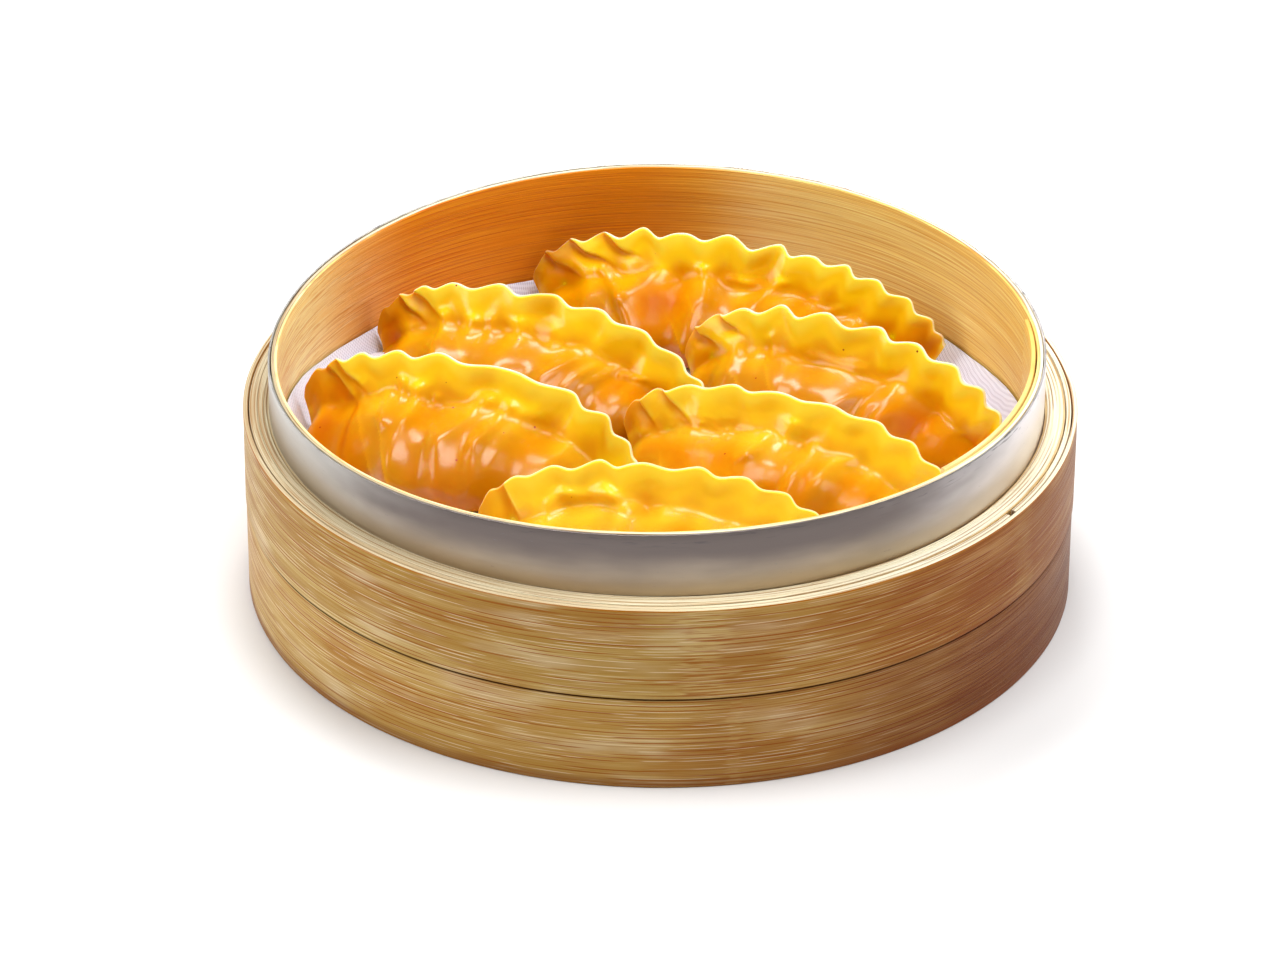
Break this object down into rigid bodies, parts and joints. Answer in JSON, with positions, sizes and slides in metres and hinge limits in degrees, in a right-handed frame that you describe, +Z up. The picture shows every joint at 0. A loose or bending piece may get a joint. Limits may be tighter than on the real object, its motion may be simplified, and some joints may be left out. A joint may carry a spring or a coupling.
{
  "type": "bamboo steamer basket of dumplings",
  "caption": "Round bamboo steamer basket with a raised metal-banded rim, a slatted floor and a cotton cloth, holding ruffled half-moon steamed dumplings.",
  "frame": {"origin": "centre of the circle that the basket stands on, at the height of its bottom edge", "axes": "+Z up, out of the open top; +X to the viewer's right; -Y towards the viewer"},
  "size_m": [0.21, 0.21, 0.0667],
  "materials": {
    "bamboo": "smooth split bamboo, fine grain lines, satin",
    "bamboo_edge": "pale cut bamboo, matt",
    "aluminium": "satin sheet, scuffed",
    "cotton": "damp open-weave gauze",
    "dumpling_skin": "moist glossy dough, slightly see-through"
  },
  "bodies": {
    "root": {"lower_hoop": "bamboo", "upper_hoop": "bamboo", "upper_hoop_inner_wrap": "bamboo", "inner_hoop": "bamboo", "inner_hoop_lap": "bamboo", "core_hoop": "bamboo_edge", "floor_bar_1": "bamboo_edge", "floor_bar_2": "bamboo_edge", "floor_bar_3": "bamboo_edge", "floor_slat_01": "bamboo_edge", "floor_slat_02": "bamboo_edge", "floor_slat_03": "bamboo_edge", "floor_slat_04": "bamboo_edge", "floor_slat_05": "bamboo_edge", "floor_slat_06": "bamboo_edge", "floor_slat_07": "bamboo_edge", "floor_slat_08": "bamboo_edge", "floor_slat_09": "bamboo_edge", "floor_slat_10": "bamboo_edge", "floor_slat_11": "bamboo_edge", "rim_band": "aluminium", "steaming_cloth": "cotton", "dumpling_back": "dumpling_skin", "dumpling_left_back": "dumpling_skin", "dumpling_right_mid": "dumpling_skin", "dumpling_left_front": "dumpling_skin", "dumpling_right_front": "dumpling_skin", "dumpling_front": "dumpling_skin"}
  },
  "joints": []
}
